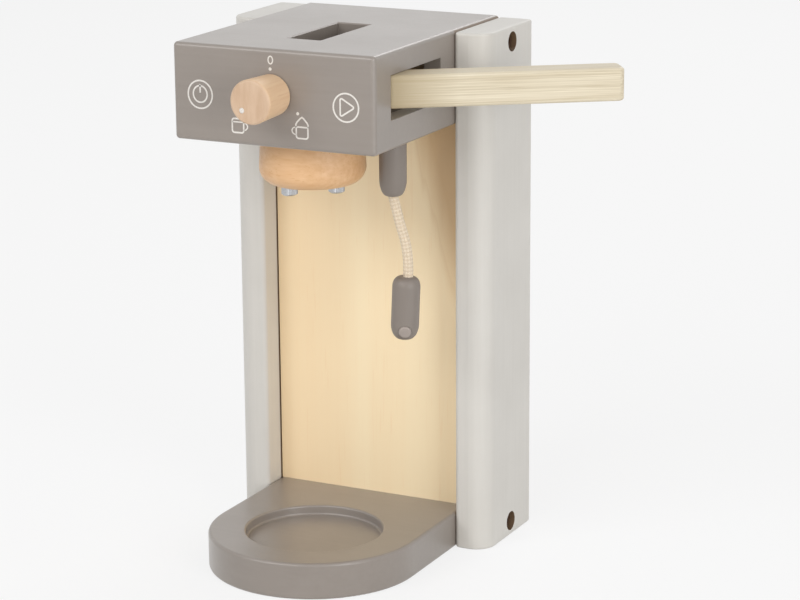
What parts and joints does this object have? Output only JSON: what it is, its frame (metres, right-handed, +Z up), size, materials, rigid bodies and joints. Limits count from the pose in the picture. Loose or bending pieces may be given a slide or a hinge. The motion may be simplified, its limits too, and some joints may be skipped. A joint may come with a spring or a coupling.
{
  "type": "toy coffee maker",
  "caption": "Wooden toy coffee maker: posts, round-nosed base, box head with pad slot, turning knob, swinging side lever, brew disc and a rope-hung steam nozzle.",
  "frame": {"origin": "on the underside of the base, midway between the posts, level with the fronts of the posts", "axes": "+X to the right as seen from the front, towards the lever; +Y to the back; +Z up"},
  "size_m": [0.2161, 0.1611, 0.2662],
  "materials": {
    "post_paint": "satin off-white paint",
    "grey_paint": "satin warm grey paint",
    "panel_wood": "clear matt lacquer, grain upright",
    "beech": "clear matt lacquer",
    "lever_wood": "clear matt lacquer, grain along the arm",
    "plain_wood": "bare",
    "steel": "plain",
    "zinc": "bright zinc",
    "screw_brown": "brown oxide",
    "rope": "braided cotton"
  },
  "bodies": {
    "machine": {"left_post": "post_paint", "right_post": "post_paint", "back_panel": "panel_wood", "base_plate": "grey_paint", "head_front_panel": "grey_paint", "head_top_panel": "grey_paint", "head_bottom_panel": "grey_paint", "head_left_panel": "grey_paint", "head_right_panel": "grey_paint", "head_rear_block": "plain_wood", "lever_pin": "plain_wood", "lever_spacer": "plain_wood", "brew_disc": "beech", "brew_disc_screws": "zinc", "steam_stub": "grey_paint", "steam_rope": "rope", "steam_nozzle": "grey_paint", "nozzle_plug": "grey_paint", "frame_screws_left": "screw_brown", "frame_screws_right": "screw_brown"},
    "knob": {"control_knob": "beech", "knob_spindle": "steel", "knob_retainer": "steel"},
    "lever_arm": {"lever": "lever_wood"}
  },
  "joints": [
    {"name": "knob_turn", "type": "hinge", "parent": "machine", "child": "knob", "pos_m": [0, -0.085, 0.2445], "axis": [0, -1, 0], "continuous": true},
    {"name": "lever_swing", "type": "hinge", "parent": "machine", "child": "lever_arm", "pos_m": [0.028, -0.06025, 0.2468], "axis": [0, 0, 1], "range_deg": [0, 25]}
  ]
}
